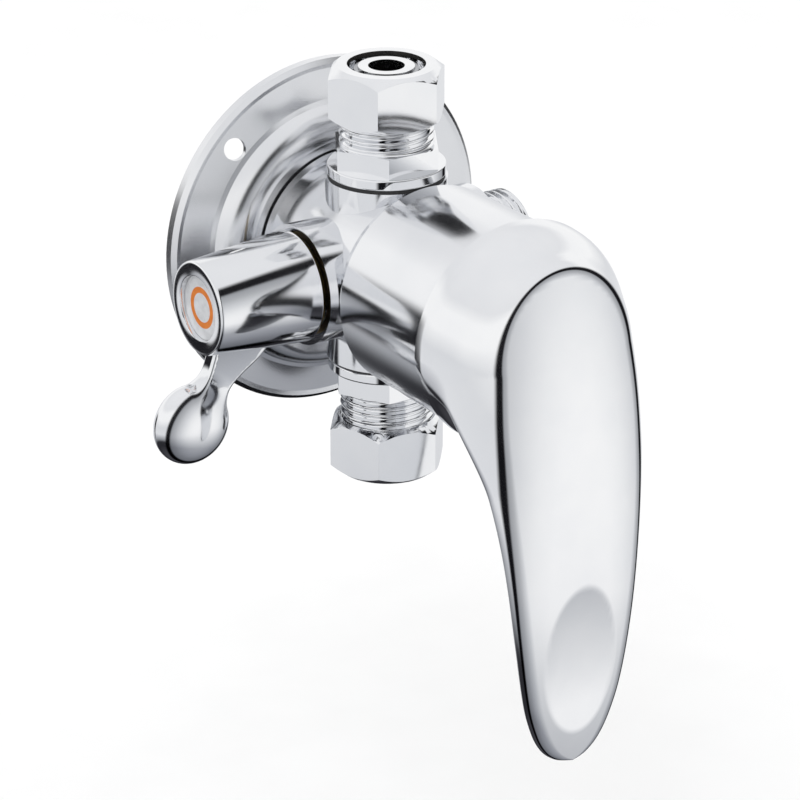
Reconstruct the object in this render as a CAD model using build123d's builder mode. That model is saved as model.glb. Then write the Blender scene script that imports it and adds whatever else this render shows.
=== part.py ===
from build123d import *
import math
import os

# Exposed shower mixing valve, fixed to a wall by its round flange.
# The wall is the plane y = 0 and the valve stands out of it towards -Y, with +Z up and +X to the right.
# Every "_out" value is a distance from the wall, so it lies at y = -value.

# Clearances
thread_gap = 0.05        # radial play of a screwed or pushed-in piece
run_gap = 0.05           # play of a turning or sliding piece
free_gap = 0.3           # clear space beside a moving piece
sphere_gap = 0.35        # clear space between the dome cover and the handle

# Wall flange
flange_r = 40.4
flange_sheet = 1.0
flange_rim_out = 3.0
flange_dome_r = 32.0
flange_dome_base_out = 4.6
flange_dome_top_r = 23.5
flange_seat_out = 9.0
screw_hole_r = 2.5
screw_inset = 5.8        # of the screw holes from the flange's edge
screw_hole_angle = 135.0
screw_hole_count = 2
gasket_thick = 0.6

# Valve body
port_out = 27.3
neck_r = 20.0
neck_bead_r = 21.4
neck_bead_long = 2.0
spigot_r = 15.0
spigot_rear_out = 2.5
lock_nut_flats = 34.0
lock_nut_thick = 4.5
arm_r = 13.5
inlet_reach = 21.0        # end faces of the hot and the cold arm
side_reach = 23.4         # end faces of the left and the right arm
arm_bore_r = 5.5
bore_web = 3.0           # half the wall between the hot and the cold bore
shoulder_r = 21.3
shoulder_out = 40.9
barrel_rear_r = 23.0
barrel_rear_out = 43.9
barrel_front_r = 23.5
barrel_edge = 0.5
cavity_r = 20.2
cavity_floor_out = 42.5
passage_r = 3.0
passage_x = -2.0
passage_z = 8.0
outlet_passage_x = 9.5
outlet_thread_r = 10.45
outlet_thread_long = 9.6
outlet_bore_r = 6.5
outlet_bore_end = 7.5
bypass_r = 2.0
bypass_z = 5.2

# Inlet unions
pipe_thread_r = 10.45
nipple_socket_r = 9.4
nipple_socket_deep = 9.0
nipple_gasket_thick = 0.6
collar_r = 13.15
collar_thick = 2.4
collar_round = 0.4
nipple_hex_flats = 22.0
nipple_hex_thick = 4.6
thread_shown = 4.9       # thread left in sight between the hexagon and the nut
thread_short = 5.7       # from the end of the thread to the end of the nut
barb_r = 6.2
barb_bore_r = 4.0
barb_sunk = 0.45
nut_flats = 23.7
nut_tall = 12.9
nut_hole_r = 8.6
nut_cone_tall = 2.85
nut_lip = 1.0
nut_chamfer_in = 0.9
nut_chamfer_angle = 38.0
cold_nut_slack = 2.3     # the cold nut is screwed on less far
nut_turn = 228.7
nipple_turn = 239.0
ferrule_wall = 0.9
ferrule_slit = 2.0
seal_thick = 1.6

# Single-lever cartridge
cartridge_play = 0.4     # between the cartridge and the wall of its cavity
base_thick = 4.0
base_seal_r = 4.8
base_seal_thick = 1.6
fixed_disc_thick = 3.5
moving_disc_r = 13.4
moving_disc_thick = 3.5
moving_disc_rest_z = 1.7
channel_deep = 1.8
carrier_thick = 3.6
carrier_key_wide = 9.0
carrier_key_long = 11.0
carrier_key_tall = 1.8
housing_wall = 2.8
housing_top_thick = 3.5
rotor_neck_r = 12.4
rotor_rise = 3.0         # of the rotor's neck above the housing
rotor_slot_long = 21.0
pivot_arm = 6.8          # from the stem's ball to the pivot
pivot_cover = 5.5        # from the pivot to the top of the housing
pivot_pin_r = 1.5
pivot_pin_half = 15.0
ball_r = 2.8
ball_play = 0.3
stem_square = 8.8
stem_waist_r = 2.0
stem_cheek = 2.6         # square part behind the pivot pin
stem_grip = 5.0          # of the square beyond the handle's hollow
ring_nut_thick = 4.9
ring_nut_hole_r = 14.6
ring_nut_slots = 4
ring_nut_slot_wide = 4.0
ring_nut_slot_deep = 1.6
dome_seat = 1.5          # width of the ledge that the dome cover sits on
dome_socket_deep = 1.5
dome_hole_r = 19.2
dome_sheet = 1.6

# Lever handle
skirt_r = 24.3
skirt_long = 1.8
cap_depth = 24.0
skirt_inner = 26.7       # radius of the hollow, about the lift pivot
hub_r = 8.2
hub_sunk = 4.8           # of the hub's end inside the skirt
hollow_rise = 25.0       # from the lift pivot to the roof of the hollow
socket_gap = 0.05
face_rise = 14.3         # from the roof of the hollow to the foremost line of the face
face_top_z = -52.0
face_long_r = 248.0
face_cross_r = 48.0
paddle_thick = 5.2       # through the crown
paddle_top_z = 20.0
paddle_brow_half = 17.2  # level with the main axis
paddle_half = 18.5
paddle_wide_z = -16.0
paddle_mid_half = 16.3
paddle_mid_z = -46.0
paddle_low_half = 14.6
paddle_low_z = -63.0
paddle_tip_z = -92.0
paddle_tip_half = 12.4
paddle_tip_start_z = -79.0
paddle_top_fullness = 1.0
paddle_tip_fullness = 1.0
rim_round = 1.1
neck_top_z = -13.0
neck_top_half = 17.5
neck_top_deep = 2.8      # of the neck's back, from the seam
neck_mid_z = -27.0
neck_mid_half = 17.0
neck_mid_deep = 10.8
neck_low_z = -43.0
neck_low_half = 14.5
dimple_z = -67.4
dimple_deep = 1.5
dimple_cross_r = 61.0
dimple_long_r = 145.0
grub_rise = 1.8          # from the roof of the hollow
grub_r = 2.5
grub_long = 8.0
plug_long = 3.5
plug_start_z = -24.5

# Side valve on the left arm
seat_seal_thick = 1.2
side_disc_r = 7.6
side_disc_thick = 2.6
side_chamber_r = 8.0
bonnet_thread_r = 10.0
bonnet_rim_r = 11.4
bonnet_rim_thick = 1.6
bonnet_long = 6.0        # inside the arm
bonnet_neck_r = 7.0
bonnet_neck_long = 9.6
bonnet_seal_thick = 0.8
spindle_r = 4.0
spindle_head_r = 7.4
spindle_head_thick = 1.6
spindle_groove = 5.1     # from the arm's end to the groove of the ring
spindle_ring_wall = 1.4
spindle_ring_long = 1.6
knob_gap = 1.1
knob_long = 24.4
knob_base_r = 12.55
knob_end_r = 10.55
knob_wall = 1.9
knob_hollow = 1.0        # clear space in front of the bonnet
knob_floor = 2.1         # between the spindle's end and the screw's head
knob_edge = 0.5
cap_recess_r = 7.25
cap_sunk = 1.2
cap_thick = 1.1
screw_r = 2.0
screw_head_r = 3.6
screw_head_thick = 1.7
screw_long = 9.0
lever_half_thick = 2.0
lever_round = 0.9
lever_pad_r = 9.2
lever_pad_half = 4.0
lever_pad_rim = 1.3
lever_inset = 1.2        # how far the blade reaches into the pad
lever_neck_outer_angle = 84.0
lever_neck_inner_angle = -12.0
lever_pad_ahead = 2.1    # of the pad's middle beyond the knob's end
lever_pad_z = -26.4
lever_root_inner = 8.9   # from the knob's base
lever_root_outer = 3.6   # from the knob's end
lever_root_z = -8.5
lever_root_low_z = -14.0

# Radii that follow from the piece round about
screw_circle_r = flange_r - screw_inset
cartridge_r = cavity_r - cartridge_play
housing_r = cartridge_r - housing_wall
fixed_disc_r = housing_r - free_gap
dome_socket_r = cavity_r + dome_seat

# Places along the main axis, each from the piece behind it
neck_rear_out = flange_seat_out + gasket_thick
base_top_out = cavity_floor_out + base_thick
fixed_top_out = base_top_out + fixed_disc_thick
moving_start_out = fixed_top_out + run_gap
moving_top_out = moving_start_out + moving_disc_thick
carrier_top_out = moving_top_out + carrier_thick
rotor_start_out = carrier_top_out + run_gap
ball_out = carrier_top_out + run_gap
pivot_out = ball_out + pivot_arm
housing_top_out = pivot_out + pivot_cover
rotor_shoulder_out = housing_top_out - housing_top_thick - run_gap
rotor_top_out = housing_top_out + rotor_rise
ring_nut_top_out = housing_top_out + ring_nut_thick
barrel_front_out = ring_nut_top_out + dome_socket_deep
seam_out = barrel_front_out + free_gap
cap_belly_out = seam_out + skirt_long
cap_front_out = cap_belly_out + cap_depth
hub_rear_out = seam_out + hub_sunk
hollow_front_out = pivot_out + hollow_rise
stem_end_out = hollow_front_out + stem_grip
socket_front_out = stem_end_out + free_gap
grub_out = hollow_front_out + grub_rise
face_top_out = hollow_front_out + face_rise

# Places along the inlets, from the port axis
collar_start = inlet_reach + nipple_gasket_thick
hex_start = collar_start + collar_thick
hex_end = hex_start + nipple_hex_thick
nut_start = hex_end + thread_shown
nut_end = nut_start + nut_tall
nipple_thread_end = nut_end - thread_short
barb_end = nut_end - barb_sunk

# Places along the left arm, from the main axis
bonnet_inner_reach = side_reach - bonnet_long
side_moving_end = bonnet_inner_reach - spindle_head_thick - run_gap
side_moving_start = side_moving_end - side_disc_thick
side_fixed_end = side_moving_start - run_gap
fixed_reach = side_fixed_end - side_disc_thick
seat_reach = fixed_reach - seat_seal_thick
rim_reach = side_reach - bonnet_rim_thick
bonnet_neck_reach = side_reach + bonnet_neck_long
spindle_groove_reach = side_reach + spindle_groove
knob_base_reach = side_reach + knob_gap
knob_end_reach = knob_base_reach + knob_long
knob_web_reach = bonnet_neck_reach + knob_hollow
cap_seat_reach = knob_end_reach - cap_sunk - cap_thick
screw_seat_reach = cap_seat_reach - screw_head_thick - free_gap
spindle_end_reach = screw_seat_reach - knob_floor
lever_pad_x = -knob_end_reach - lever_pad_ahead
lever_root_inner_x = -knob_base_reach - lever_root_inner
lever_root_outer_x = lever_root_outer - knob_end_reach

# Planes and axes shared by the pieces
front = Plane(origin=(0, 0, 0), x_dir=(1, 0, 0), z_dir=(0, -1, 0))
side_plane = Plane(origin=(0, -port_out, 0), x_dir=(1, 0, 0), z_dir=(0, 0, 1))
inlet_plane = Plane(origin=(0, -port_out, 0), x_dir=(1, 0, 0), z_dir=(0, -1, 0))
side_axis = Axis((0, -port_out, 0), (1, 0, 0))
inlet_axis = Axis((0, -port_out, 0), (0, 0, 1))
face_axis = Axis((0, face_long_r - face_top_out, face_top_z), (1, 0, 0))

os.makedirs("parts", exist_ok=True)


def save(piece, name):
    """Label a finished piece and write it to its own file."""
    piece.part.label = name
    export_step(piece.part, f"parts/{name}.step")


def out(distance):
    """Plane parallel to the wall, facing the user, this far from the wall."""
    return front.offset(distance)


def profile(points):
    """Closed (radius, distance from the wall) outline, ready to turn about the main axis."""
    return [(r, -d) for r, d in points]


def hexagon(flats, turn):
    """Sketch a hexagon across the flats, with a corner at this angle."""
    return RegularPolygon(flats / 2, 6, major_radius=False, rotation=turn)


# Wall flange: pressed sheet with a rolled rim, a flat and a low dome
flange_skin = [
    (flange_r, 0),
    (flange_r, flange_rim_out - flange_sheet),
    (flange_r - flange_sheet, flange_rim_out),
    (flange_r - 2 * flange_sheet, flange_rim_out - flange_sheet / 4),
    (flange_dome_r, flange_dome_base_out),
    (flange_dome_r - flange_sheet, flange_dome_base_out + flange_sheet / 2),
]
dome_middle = (
    (flange_dome_r + flange_dome_top_r) / 2 + flange_sheet,
    (flange_dome_base_out + flange_seat_out) / 2 + flange_sheet,
)
flange_hole_r = spigot_r + free_gap
with BuildPart() as wall_flange:
    with BuildSketch(Plane.XY):
        with BuildLine():
            Polyline(*profile(flange_skin))
            ThreePointArc(
                *profile([flange_skin[-1], dome_middle, (flange_dome_top_r, flange_seat_out)])
            )
            Polyline(
                *profile([
                    (flange_dome_top_r, flange_seat_out),
                    (flange_hole_r, flange_seat_out),
                    (flange_hole_r, flange_seat_out - flange_sheet),
                    (flange_dome_top_r - flange_sheet, flange_seat_out - flange_sheet),
                ])
            )
            ThreePointArc(
                *profile([
                    (flange_dome_top_r - flange_sheet, flange_seat_out - flange_sheet),
                    (dome_middle[0] - flange_sheet, dome_middle[1] - flange_sheet),
                    (flange_dome_r - 2 * flange_sheet, flange_dome_base_out - flange_sheet / 2),
                ])
            )
            Polyline(
                *profile([
                    (flange_dome_r - 2 * flange_sheet, flange_dome_base_out - flange_sheet / 2),
                    (flange_r - 2 * flange_sheet, flange_rim_out - 5 * flange_sheet / 4),
                    (flange_r - flange_sheet, flange_rim_out - 3 * flange_sheet / 2),
                    (flange_r - flange_sheet, 0),
                    (flange_r, 0),
                ])
            )
        make_face()
    revolve(axis=Axis.Y)
    with Locations(out(flange_dome_base_out)):
        with PolarLocations(screw_circle_r, screw_hole_count, start_angle=screw_hole_angle):
            Hole(screw_hole_r)
save(wall_flange, "wall_flange")

# Valve body: neck, four arms, cartridge barrel and the threaded outlet, bored for the water ways
with BuildPart() as valve_body:
    with BuildSketch(Plane.XY):
        with BuildLine():
            Polyline(
                *profile([
                    (0, spigot_rear_out),
                    (spigot_r, spigot_rear_out),
                    (spigot_r, neck_rear_out),
                    (neck_bead_r, neck_rear_out),
                    (neck_bead_r, neck_rear_out + neck_bead_long),
                    (neck_r, neck_rear_out + neck_bead_long),
                    (neck_r, shoulder_out),
                    (shoulder_r, shoulder_out),
                    (barrel_rear_r, barrel_rear_out),
                    (barrel_front_r, barrel_front_out - barrel_edge),
                    (barrel_front_r - barrel_edge, barrel_front_out),
                    (0, barrel_front_out),
                ]),
                close=True,
            )
        make_face()
    revolve(axis=Axis.Y)
    with BuildSketch(Plane.XY):
        with Locations((0, -port_out)):
            Circle(arm_r)
    extrude(amount=inlet_reach, both=True)
    with BuildSketch(Plane.YZ):
        with Locations((-port_out, 0)):
            Circle(arm_r)
    extrude(amount=side_reach, both=True)
    with BuildSketch(Plane.YZ.offset(side_reach)):
        with Locations((-port_out, 0)):
            Circle(outlet_thread_r)
    extrude(amount=outlet_thread_long)
    chamfer(valve_body.faces().sort_by(Axis.X)[-1].edges(), length=barrel_edge)
    # Cartridge cavity with the seat of the dome cover at its mouth
    with BuildSketch(out(barrel_front_out)):
        Circle(cavity_r)
    extrude(amount=cavity_floor_out - barrel_front_out, mode=Mode.SUBTRACT)
    with BuildSketch(out(barrel_front_out)):
        Circle(dome_socket_r + thread_gap)
    extrude(amount=-dome_socket_deep, mode=Mode.SUBTRACT)
    # Hot and cold bores with the sockets of the nipples
    for up in (1, -1):
        with BuildSketch(Plane.XY.offset(up * inlet_reach)):
            with Locations((0, -port_out)):
                Circle(arm_bore_r)
        extrude(amount=up * (bore_web - inlet_reach), mode=Mode.SUBTRACT)
        with BuildSketch(Plane.XY.offset(up * inlet_reach)):
            with Locations((0, -port_out)):
                Circle(nipple_socket_r + thread_gap)
        extrude(amount=-up * nipple_socket_deep, mode=Mode.SUBTRACT)
        with BuildSketch(out(port_out)):
            with Locations((passage_x, up * passage_z)):
                Circle(passage_r)
        extrude(amount=cavity_floor_out - port_out, mode=Mode.SUBTRACT)
        with BuildSketch(Plane.YZ.offset(-seat_reach)):
            with Locations((-port_out, up * bypass_z)):
                Circle(bypass_r)
        extrude(amount=seat_reach, mode=Mode.SUBTRACT)
    # Mixed water: from the cartridge floor back to the outlet
    with BuildSketch(Plane.YZ.offset(side_reach + outlet_thread_long)):
        with Locations((-port_out, 0)):
            Circle(outlet_bore_r)
    extrude(amount=outlet_bore_end - side_reach - outlet_thread_long, mode=Mode.SUBTRACT)
    with BuildSketch(out(port_out)):
        with Locations((outlet_passage_x, 0)):
            Circle(passage_r)
    extrude(amount=cavity_floor_out - port_out, mode=Mode.SUBTRACT)
    # Chamber of the side valve
    with BuildSketch(Plane.YZ.offset(-side_reach)):
        with Locations((-port_out, 0)):
            Circle(side_chamber_r)
    extrude(amount=side_reach - seat_reach, mode=Mode.SUBTRACT)
    with BuildSketch(Plane.YZ.offset(-side_reach)):
        with Locations((-port_out, 0)):
            Circle(bonnet_thread_r + thread_gap)
    extrude(amount=bonnet_long, mode=Mode.SUBTRACT)
    with BuildSketch(Plane.YZ.offset(-side_reach)):
        with Locations((-port_out, 0)):
            Circle(bonnet_rim_r + thread_gap)
    extrude(amount=bonnet_rim_thick + bonnet_seal_thick, mode=Mode.SUBTRACT)
save(valve_body, "valve_body")

# Gasket and lock nut that clamp the flange to the neck
with BuildPart() as flange_gasket:
    with BuildSketch(out(flange_seat_out)):
        Circle(neck_r)
        Circle(flange_hole_r, mode=Mode.SUBTRACT)
    extrude(amount=gasket_thick)
save(flange_gasket, "flange_gasket")

with BuildPart() as flange_lock_nut:
    with BuildSketch(out(flange_seat_out - flange_sheet)):
        hexagon(lock_nut_flats, 0)
        Circle(spigot_r + thread_gap, mode=Mode.SUBTRACT)
    extrude(amount=-lock_nut_thick)
save(flange_lock_nut, "flange_lock_nut")

# Inlet unions: the cold set hangs below as a mirror image of the hot set
ferrule_start = nipple_thread_end + seal_thick
nut_bore_r = pipe_thread_r + thread_gap


def inlet(distance):
    """Horizontal plane across the hot inlet, this far above the port axis."""
    return Plane(origin=(0, -port_out, distance))


with BuildPart() as hot_gasket:
    with BuildSketch(inlet(inlet_reach)):
        Circle(collar_r - free_gap)
        Circle(nipple_socket_r + free_gap, mode=Mode.SUBTRACT)
    extrude(amount=nipple_gasket_thick)

with BuildPart() as hot_nipple:
    with BuildSketch(inlet_plane):
        with BuildLine():
            Polyline(
                (barb_bore_r, inlet_reach - nipple_socket_deep + free_gap),
                (nipple_socket_r, inlet_reach - nipple_socket_deep + free_gap),
                (nipple_socket_r, collar_start),
                (collar_r, collar_start),
                (collar_r, hex_start),
                (pipe_thread_r, hex_start),
                (pipe_thread_r, nipple_thread_end),
                (barb_r, nipple_thread_end),
                (barb_r, barb_end),
                (barb_bore_r, barb_end),
                close=True,
            )
        make_face()
    revolve(axis=inlet_axis)
    collar_edges = hot_nipple.edges().filter_by(GeomType.CIRCLE).group_by(SortBy.RADIUS)[-1]
    fillet(collar_edges, radius=collar_round)
    with BuildSketch(inlet(hex_start)):
        hexagon(nipple_hex_flats, nipple_turn)
        Circle(pipe_thread_r - thread_gap, mode=Mode.SUBTRACT)
    extrude(amount=nipple_hex_thick)

with BuildPart() as hot_seal:
    with BuildSketch(inlet(nipple_thread_end)):
        Circle(nut_hole_r - free_gap)
        Circle(barb_r + thread_gap, mode=Mode.SUBTRACT)
    extrude(amount=seal_thick)

with BuildPart() as hot_ferrule:
    with BuildSketch(inlet(ferrule_start)):
        Circle(barb_r + ferrule_wall)
        Circle(barb_r + thread_gap, mode=Mode.SUBTRACT)
        with Locations((-barb_r, 0)):
            Rectangle(2 * barb_r, ferrule_slit, mode=Mode.SUBTRACT)
    extrude(amount=nut_end - nut_lip - ferrule_start)

nut_corner_r = nut_flats / math.sqrt(3)
nut_chamfer_r = nut_flats / 2 - nut_chamfer_in
nut_chamfer_tall = (nut_corner_r - nut_chamfer_r) * math.tan(math.radians(nut_chamfer_angle))
with BuildPart() as hot_nut:
    with BuildSketch(inlet(nut_start)):
        hexagon(nut_flats, nut_turn)
    extrude(amount=nut_end - nut_start)
    # Turned ends leave the corners of the hexagon chamfered
    with BuildSketch(inlet_plane):
        with BuildLine():
            Polyline(
                (0, nut_start),
                (nut_chamfer_r, nut_start),
                (nut_corner_r, nut_start + nut_chamfer_tall),
                (nut_corner_r, nut_end - nut_chamfer_tall),
                (nut_chamfer_r, nut_end),
                (0, nut_end),
                close=True,
            )
        make_face()
    revolve(axis=inlet_axis, mode=Mode.INTERSECT)
    with BuildSketch(inlet_plane):
        with BuildLine():
            Polyline(
                (0, nut_start),
                (nut_bore_r, nut_start),
                (nut_bore_r, nut_end - nut_lip - nut_cone_tall),
                (nut_hole_r, nut_end - nut_lip),
                (nut_hole_r, nut_end),
                (0, nut_end),
                close=True,
            )
        make_face()
    revolve(axis=inlet_axis, mode=Mode.SUBTRACT)

hot_set = {
    "gasket": hot_gasket,
    "nipple": hot_nipple,
    "seal": hot_seal,
    "ferrule": hot_ferrule,
    "nut": hot_nut,
}
for kind, hot_piece in hot_set.items():
    save(hot_piece, f"hot_{kind}")
    drop = cold_nut_slack if kind == "nut" else 0
    with BuildPart() as cold_piece:
        with Locations((0, 0, -drop)):
            add(mirror(hot_piece.part, about=Plane.XY, mode=Mode.PRIVATE))
    save(cold_piece, f"cold_{kind}")

# Cartridge: base with its seals, ceramic discs, carrier, rotor and housing
water_ways = [(passage_x, passage_z), (passage_x, -passage_z), (outlet_passage_x, 0)]

with BuildPart() as cartridge_base:
    with BuildSketch(out(cavity_floor_out)):
        Circle(cartridge_r)
        with Locations(*water_ways):
            Circle(passage_r, mode=Mode.SUBTRACT)
    extrude(amount=base_thick)
    with BuildSketch(out(cavity_floor_out)):
        with Locations(*water_ways):
            Circle(base_seal_r)
    extrude(amount=base_seal_thick, mode=Mode.SUBTRACT)
save(cartridge_base, "cartridge_base")

with BuildPart() as cartridge_seals:
    with BuildSketch(out(cavity_floor_out)):
        with Locations(*water_ways):
            Circle(base_seal_r - thread_gap)
        with Locations(*water_ways):
            Circle(passage_r, mode=Mode.SUBTRACT)
    extrude(amount=base_seal_thick)
save(cartridge_seals, "cartridge_seals")

with BuildPart() as fixed_disc:
    with BuildSketch(out(base_top_out)):
        Circle(fixed_disc_r)
        with Locations(*water_ways):
            Circle(passage_r, mode=Mode.SUBTRACT)
    extrude(amount=fixed_disc_thick)
save(fixed_disc, "fixed_disc")

with BuildPart() as moving_disc:
    with BuildSketch(out(moving_start_out)):
        with Locations((0, moving_disc_rest_z)):
            Circle(moving_disc_r)
    extrude(amount=moving_disc_thick)
    # Mixing channel that joins the inlets to the outlet when the disc slides
    with BuildSketch(out(moving_start_out)):
        with Locations((outlet_passage_x / 2, 0)):
            SlotOverall(outlet_passage_x + 2 * passage_r, 2 * passage_r)
    extrude(amount=channel_deep, mode=Mode.SUBTRACT)
save(moving_disc, "moving_disc")

with BuildPart() as disc_carrier:
    with BuildSketch(out(moving_top_out)):
        with Locations((0, moving_disc_rest_z)):
            Circle(moving_disc_r)
    extrude(amount=carrier_thick)
    with BuildSketch(out(carrier_top_out)):
        Rectangle(carrier_key_wide, carrier_key_long)
    extrude(amount=carrier_key_tall)
    with BuildSketch(out(carrier_top_out + carrier_key_tall)):
        Circle(ball_r + ball_play)
    extrude(amount=ball_out - ball_r - ball_play - carrier_top_out - carrier_key_tall, mode=Mode.SUBTRACT)
save(disc_carrier, "disc_carrier")

rotor_slot_wide = carrier_key_wide + 2 * run_gap
with BuildPart() as cartridge_rotor:
    with BuildSketch(out(rotor_start_out)):
        Circle(housing_r - run_gap)
    extrude(amount=rotor_shoulder_out - rotor_start_out)
    with BuildSketch(out(rotor_shoulder_out)):
        Circle(rotor_neck_r)
    extrude(amount=rotor_top_out - rotor_shoulder_out)
    with BuildSketch(out(rotor_start_out)):
        Rectangle(rotor_slot_wide, rotor_slot_long)
    extrude(amount=rotor_top_out - rotor_start_out, mode=Mode.SUBTRACT)
    with BuildSketch(Plane.YZ):
        with Locations((-pivot_out, 0)):
            Circle(pivot_pin_r + thread_gap)
    extrude(amount=housing_r, both=True, mode=Mode.SUBTRACT)
save(cartridge_rotor, "cartridge_rotor")

with BuildPart() as pivot_pin:
    with BuildSketch(Plane.YZ):
        with Locations((-pivot_out, 0)):
            Circle(pivot_pin_r)
    extrude(amount=pivot_pin_half, both=True)
save(pivot_pin, "pivot_pin")

with BuildPart() as cartridge_housing:
    with BuildSketch(out(base_top_out)):
        Circle(cartridge_r)
        Circle(housing_r, mode=Mode.SUBTRACT)
    extrude(amount=housing_top_out - base_top_out)
    with BuildSketch(out(housing_top_out)):
        Circle(housing_r)
        Circle(rotor_neck_r + run_gap, mode=Mode.SUBTRACT)
    extrude(amount=-housing_top_thick)
save(cartridge_housing, "cartridge_housing")

# Stem: ball end in the carrier, waist through the rotor and a square for the handle
with BuildPart() as stem:
    with Locations((0, -ball_out, 0)):
        Sphere(ball_r)
    with BuildSketch(out(ball_out)):
        Circle(stem_waist_r)
    extrude(amount=pivot_out - ball_out)
    with BuildSketch(out(pivot_out - stem_cheek)):
        RectangleRounded(stem_square, stem_square, stem_square / 8)
    extrude(amount=stem_end_out - pivot_out + stem_cheek)
    with BuildSketch(Plane.YZ):
        with Locations((-pivot_out, 0)):
            Circle(pivot_pin_r + run_gap)
    extrude(amount=stem_square, both=True, mode=Mode.SUBTRACT)
save(stem, "stem")

with BuildPart() as retaining_nut:
    with BuildSketch(out(housing_top_out)):
        Circle(cavity_r - thread_gap)
        Circle(ring_nut_hole_r, mode=Mode.SUBTRACT)
    extrude(amount=ring_nut_thick)
    with BuildSketch(out(ring_nut_top_out)):
        with PolarLocations(cavity_r, ring_nut_slots):
            Rectangle(cavity_r, ring_nut_slot_wide)
    extrude(amount=-ring_nut_slot_deep, mode=Mode.SUBTRACT)
save(retaining_nut, "retaining_nut")

# Dome cover: a spherical ring about the lift pivot, which closes the barrel's mouth
dome_r = skirt_inner - sphere_gap
dome_edge_r = math.sqrt(dome_r**2 - (barrel_front_out - pivot_out) ** 2)


def dome_out(sphere_r, radius):
    """Distance from the wall at which a sphere about the lift pivot has this radius."""
    return pivot_out + math.sqrt(sphere_r**2 - radius**2)


dome_mid_r = (dome_edge_r + dome_hole_r) / 2
with BuildPart() as dome_cover:
    with BuildSketch(Plane.XY):
        with BuildLine():
            ThreePointArc(
                *profile([
                    (dome_edge_r, barrel_front_out),
                    (dome_mid_r, dome_out(dome_r, dome_mid_r)),
                    (dome_hole_r, dome_out(dome_r, dome_hole_r)),
                ])
            )
            Polyline(
                *profile([
                    (dome_hole_r, dome_out(dome_r, dome_hole_r)),
                    (dome_hole_r, dome_out(dome_r - dome_sheet, dome_hole_r)),
                    (dome_socket_r - dome_sheet, ring_nut_top_out + dome_sheet),
                    (dome_socket_r - dome_sheet, ring_nut_top_out),
                    (dome_socket_r, ring_nut_top_out),
                    (dome_socket_r, barrel_front_out),
                    (dome_edge_r, barrel_front_out),
                ])
            )
        make_face()
    revolve(axis=Axis.Y)
save(dome_cover, "dome_cover")


def face_out(level):
    """Distance from the wall of the crowned face's middle line at this height."""
    return face_top_out - face_long_r + math.sqrt(face_long_r**2 - (level - face_top_z) ** 2)


# Lever handle: a domed cap that sweeps into a crowned paddle
with BuildPart() as crowned_face:
    # Everything behind the crowned face, which bends along the paddle and across it
    with BuildSketch(Plane.XY.offset(face_top_z)):
        with BuildLine():
            crown_drop = face_cross_r - math.sqrt(face_cross_r**2 - skirt_r**2)
            crown = ThreePointArc(
                (-skirt_r, crown_drop - face_top_out),
                (0, -face_top_out),
                (skirt_r, crown_drop - face_top_out),
            )
            Polyline(crown @ 1, (skirt_r, 0), (-skirt_r, 0), crown @ 0)
        make_face()
    revolve(axis=face_axis)

with BuildPart() as paddle:
    with BuildSketch(out(hollow_front_out)):
        with BuildLine():
            right_edge = Spline(
                (0, paddle_top_z),
                (paddle_brow_half, 0),
                (paddle_half, paddle_wide_z),
                (paddle_mid_half, paddle_mid_z),
                (paddle_low_half, paddle_low_z),
                (paddle_tip_half, paddle_tip_start_z),
                (0, paddle_tip_z),
                tangents=[(1, 0), (-1, 0)],
                tangent_scalars=[paddle_top_fullness, paddle_tip_fullness],
            )
            mirror(right_edge, about=Plane.YZ)
        make_face()
    extrude(amount=face_top_out - hollow_front_out)
    with BuildSketch(Plane.YZ):
        with Locations((face_axis.position.Y, face_top_z)):
            Circle(face_long_r - paddle_thick)
    extrude(amount=2 * paddle_half, both=True, mode=Mode.SUBTRACT)

# Sections of the neck, from inside the cap down to where it runs out into the paddle's back
neck_sections = [
    (neck_top_z, neck_top_half, seam_out + neck_top_deep),
    (neck_mid_z, neck_mid_half, seam_out + neck_mid_deep),
    (neck_low_z, neck_low_half, face_out(neck_low_z) - paddle_thick + free_gap),
]
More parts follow.
